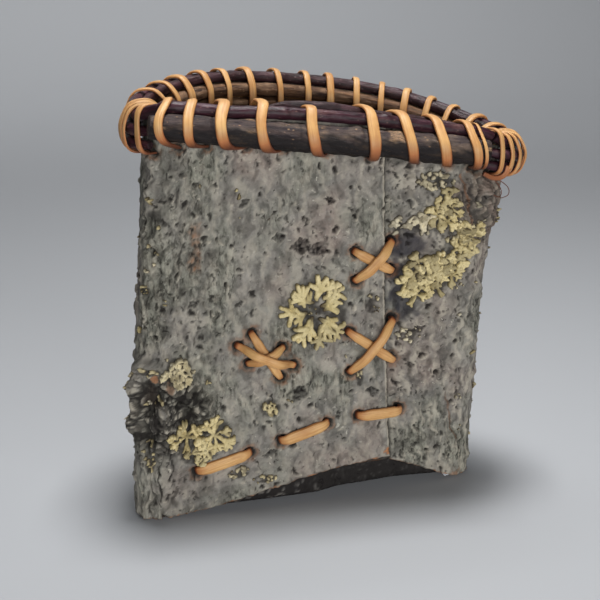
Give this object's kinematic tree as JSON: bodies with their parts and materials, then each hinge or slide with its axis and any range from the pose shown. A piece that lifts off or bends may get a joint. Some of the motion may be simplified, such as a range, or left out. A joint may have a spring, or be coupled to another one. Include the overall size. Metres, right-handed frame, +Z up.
{
  "type": "bark basket",
  "caption": "Small flat-fronted open basket of bark, lapped and stitched with split root, with a rim of shoots lashed on.",
  "frame": {"origin": "on the floor under the basket, in the middle plane between its flat front and its round back", "axes": "+Z up, -Y out of the flat front, +X to the right as seen from the front"},
  "size_m": [0.1759, 0.0924, 0.1778],
  "materials": {
    "bark": "rough",
    "branch": "satin",
    "shoot": "satin",
    "brown_shoot": "rough",
    "root": "satin"
  },
  "bodies": {
    "root": {"bark_wall": "bark", "bark_bottom": "bark", "rim_branch_front": "branch", "rim_shoot_outer_upper": "shoot", "rim_shoot_outer_middle": "shoot", "rim_shoot_outer_lower": "shoot", "rim_shoot_top": "shoot", "rim_shoot_inner_upper": "brown_shoot", "rim_shoot_inner_lower": "brown_shoot", "rim_lashing": "root", "seam_cross_stitch_upper": "root", "seam_cross_stitch_lower": "root", "star_stitch": "root", "base_stitches": "root"}
  },
  "joints": []
}
